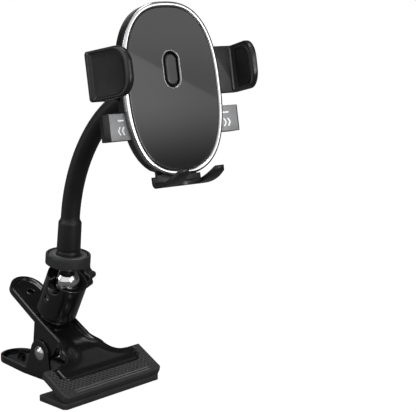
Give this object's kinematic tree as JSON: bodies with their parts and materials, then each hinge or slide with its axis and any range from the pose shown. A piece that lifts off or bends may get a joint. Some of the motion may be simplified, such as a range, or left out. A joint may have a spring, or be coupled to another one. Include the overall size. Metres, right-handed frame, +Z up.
{
  "type": "clip phone holder",
  "caption": "Spring clamp with a ball head, a bendable neck and an oval phone cradle that has two sliding arms, release levers, a trigger button and a foot.",
  "frame": {"origin": "middle of the lower jaw's pad area, on the flat underside of the lower jaw", "axes": "+X along the jaws and the rivet, -Y towards the jaw tips and the cradle's front, +Z up"},
  "size_m": [0.1123, 0.2252, 0.2757],
  "materials": {
    "jaw_paint": "gloss black",
    "pad_rubber": "matt black, diamond ribbed",
    "rivet_chrome": "polished",
    "spring_steel": "bare wire",
    "screw_steel": "bright",
    "housing_paint": "gloss black",
    "seat_brass": "plain",
    "ball_chrome": "mirror polished",
    "knob_plastic": "satin black",
    "disc_metal": "satin black",
    "neck_rubber": "matt black",
    "shell_plastic": "satin black",
    "patch_plastic": "matt dark grey",
    "trim_chrome": "bright silver",
    "panel_gloss": "gloss dark grey",
    "button_black": "black",
    "inner_plastic": "plain white",
    "arm_plastic": "satin black",
    "grip_rubber": "matt black",
    "lever_silver": "satin silver grey"
  },
  "bodies": {
    "lower_clamp": {"lower_jaw": "jaw_paint", "lower_pad": "pad_rubber", "pivot_rivet": "rivet_chrome", "torsion_spring": "spring_steel"},
    "upper_clamp": {"upper_jaw": "jaw_paint", "upper_pad": "pad_rubber", "mounting_screw": "screw_steel"},
    "head": {"base_washer": "housing_paint", "ball_housing": "housing_paint", "ball_seat": "seat_brass", "set_screw": "screw_steel"},
    "knob": {"lock_screw": "screw_steel", "lock_knob": "knob_plastic"},
    "stud": {"ball_stud": "ball_chrome"},
    "disc": {"lock_disc": "disc_metal", "disc_grip": "grip_rubber"},
    "neck_a": {"neck_foot": "neck_rubber"},
    "neck_b": {"neck_link_1": "neck_rubber"},
    "neck_c": {"neck_link_2": "neck_rubber"},
    "neck_d": {"neck_link_3": "neck_rubber"},
    "neck_e": {"neck_end": "neck_rubber"},
    "upper_ball": {"top_ball": "ball_chrome"},
    "socket": {"ball_ring": "inner_plastic", "ball_cup": "inner_plastic"},
    "cradle": {"back_shell": "shell_plastic", "back_patch": "patch_plastic", "trim_ring": "trim_chrome", "front_panel": "panel_gloss", "trigger_rim": "trim_chrome", "trigger_spring": "spring_steel", "screw_1": "screw_steel", "screw_2": "screw_steel", "screw_3": "screw_steel", "screw_4": "screw_steel"},
    "nut": {"collar_nut": "knob_plastic"},
    "trigger": {"trigger_button": "button_black"},
    "gear": {"pinion": "inner_plastic"},
    "arm_left": {"left_arm": "arm_plastic", "left_arm_pad": "grip_rubber"},
    "arm_right": {"right_arm": "arm_plastic", "right_arm_pad": "grip_rubber"},
    "lever_left": {"left_lever": "lever_silver", "left_lever_cap": "arm_plastic"},
    "lever_right": {"right_lever": "lever_silver", "right_lever_cap": "arm_plastic"},
    "foot": {"foot_bracket": "arm_plastic", "foot_pad": "grip_rubber"}
  },
  "joints": [
    {"name": "jaw_open", "type": "hinge", "parent": "lower_clamp", "child": "upper_clamp", "pos_m": [0, 0.04915, 0.02014], "axis": [-1, 0, 0], "range_deg": [0, 50], "stiffness_Nm_per_rad": 1.6, "springref_deg": -63.03, "deforming": ["torsion_spring"]},
    {"name": "head_pan", "type": "hinge", "parent": "upper_clamp", "child": "head", "pos_m": [0, 0.05089, 0.04532], "axis": [0, -0.4617, 0.887], "range_deg": [-180, 180]},
    {"name": "knob_turn", "type": "hinge", "parent": "head", "child": "knob", "pos_m": [0.02349, 0.04667, 0.07194], "axis": [0.9397, 0.3034, 0.1579], "range_deg": [0, 360]},
    {"name": "ball_tilt", "type": "hinge", "parent": "head", "child": "stud", "pos_m": [0, 0.03563, 0.07464], "axis": [1, 0, 0], "range_deg": [-6, 48]},
    {"name": "disc_turn", "type": "hinge", "parent": "stud", "child": "disc", "pos_m": [0, 0.03398, 0.08854], "axis": [0, -0.1174, 0.9931], "range_deg": [0, 360]},
    {"name": "neck_spin", "type": "hinge", "parent": "stud", "child": "neck_a", "pos_m": [0, 0.03281, 0.09847], "axis": [0, -0.1174, 0.9931], "range_deg": [-180, 180]},
    {"name": "bend_1", "type": "hinge", "parent": "neck_a", "child": "neck_b", "pos_m": [0.00002, 0.02763, 0.13559], "axis": [0.9995, 0.0303, 0.0036], "range_deg": [-30, 30]},
    {"name": "bend_2", "type": "hinge", "parent": "neck_b", "child": "neck_c", "pos_m": [0.00021, 0.01826, 0.16192], "axis": [-0.0288, 0.8981, 0.4388], "range_deg": [-30, 30]},
    {"name": "bend_3", "type": "hinge", "parent": "neck_c", "child": "neck_d", "pos_m": [0.00059, 0.00304, 0.18577], "axis": [0.9995, 0.0303, 0.0036], "range_deg": [-30, 30]},
    {"name": "bend_4", "type": "hinge", "parent": "neck_d", "child": "neck_e", "pos_m": [0.00112, -0.01658, 0.20419], "axis": [-0.0205, 0.579, 0.8151], "range_deg": [-30, 30]},
    {"name": "top_spin", "type": "hinge", "parent": "neck_e", "child": "upper_ball", "pos_m": [0.00201, -0.04774, 0.21901], "axis": [0.0283, -0.9635, 0.2663], "range_deg": [-180, 180]},
    {"name": "cradle_tilt", "type": "hinge", "parent": "upper_ball", "child": "socket", "pos_m": [0.00201, -0.04774, 0.21901], "axis": [0.9823, -0.1874, 0], "range_deg": [-34, 26]},
    {"name": "cradle_turn", "type": "hinge", "parent": "socket", "child": "cradle", "pos_m": [0.00201, -0.04774, 0.21901], "axis": [-0.1837, -0.9629, 0.1977], "range_deg": [-180, 180]},
    {"name": "nut_turn", "type": "hinge", "parent": "cradle", "child": "nut", "pos_m": [0.00201, -0.04774, 0.21901], "axis": [-0.1837, -0.9629, 0.1977], "range_deg": [0, 360]},
    {"name": "trigger_press", "type": "slide", "parent": "cradle", "child": "trigger", "axis": [0.1837, 0.9629, -0.1977], "range_m": [0, 0.0012], "stiffness_N_per_m": 300, "springref_m": -0.003, "deforming": ["trigger_spring"]},
    {"name": "pinion_turn", "type": "hinge", "parent": "cradle", "child": "gear", "pos_m": [-0.00228, -0.07023, 0.23068], "axis": [-0.1837, -0.9629, 0.1977], "range_deg": [-133, 0]},
    {"name": "arm_slide_left", "type": "slide", "parent": "cradle", "child": "arm_left", "axis": [0.9823, -0.1874, 0], "range_m": [0, 0.0134]},
    {"name": "arm_slide_right", "type": "slide", "parent": "cradle", "child": "arm_right", "axis": [-0.9823, 0.1874, 0], "range_m": [0, 0.0134]},
    {"name": "lever_press_left", "type": "slide", "parent": "cradle", "child": "lever_left", "axis": [0.9823, -0.1874, 0], "range_m": [0, 0.003], "stiffness_N_per_m": 500, "springref_m": -0.004},
    {"name": "lever_press_right", "type": "slide", "parent": "cradle", "child": "lever_right", "axis": [-0.9823, 0.1874, 0], "range_m": [0, 0.003], "stiffness_N_per_m": 500, "springref_m": -0.004},
    {"name": "foot_slide", "type": "slide", "parent": "cradle", "child": "foot", "axis": [-0.037, -0.1942, -0.9803], "range_m": [0, 0.012]}
  ],
  "couplings": [
    {"joint": "arm_slide_right", "follows": "arm_slide_left", "ratio": 1},
    {"joint": "pinion_turn", "follows": "arm_slide_left", "rad_per_m": -166.67}
  ]
}
